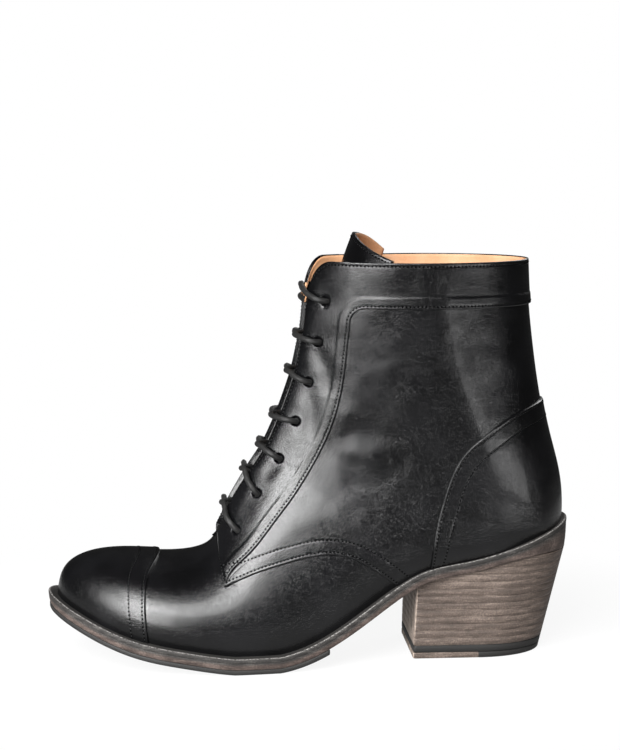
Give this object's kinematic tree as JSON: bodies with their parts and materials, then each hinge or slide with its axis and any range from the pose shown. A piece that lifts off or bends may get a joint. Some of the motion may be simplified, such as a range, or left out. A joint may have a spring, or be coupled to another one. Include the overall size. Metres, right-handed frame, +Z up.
{
  "type": "ankle boot",
  "caption": "Laced ankle boot with a toe cap, eyestays running into a collar band, heel counter, welted leather sole and stacked block heel.",
  "frame": {"origin": "on the floor under the middle of the boot's length and width", "axes": "+X towards the heel, -Y to the outer side of the foot, +Z up"},
  "size_m": [0.2598, 0.0925, 0.209],
  "materials": {
    "black_leather": "smooth polished calf, glossy",
    "tan_lining": "matt tan lining leather",
    "welt_leather": "brown welt with a pale cut edge",
    "sole_leather": "waxed brown sole edge",
    "stacked_leather": "stacked lifts with pale lines between them",
    "black_rubber": "matt black",
    "waxed_cord": "black waxed cord"
  },
  "bodies": {
    "root": {"upper": "black_leather", "toe_cap": "black_leather", "quarter_outer": "black_leather", "quarter_inner": "black_leather", "eyestay_outer": "black_leather", "eyestay_inner": "black_leather", "heel_counter": "black_leather", "tongue": "black_leather", "insole": "tan_lining", "welt": "welt_leather", "outsole": "sole_leather", "forepart_rubber": "black_rubber", "heel_stack": "stacked_leather", "top_lift": "black_rubber", "top_piece_leather": "sole_leather", "top_piece_rubber": "black_rubber", "lace_cross_1": "waxed_cord", "lace_cross_2": "waxed_cord", "lace_cross_3": "waxed_cord", "lace_cross_4": "waxed_cord", "lace_cross_5": "waxed_cord", "lace_cross_6": "waxed_cord", "lace_cross_7": "waxed_cord"}
  },
  "joints": []
}
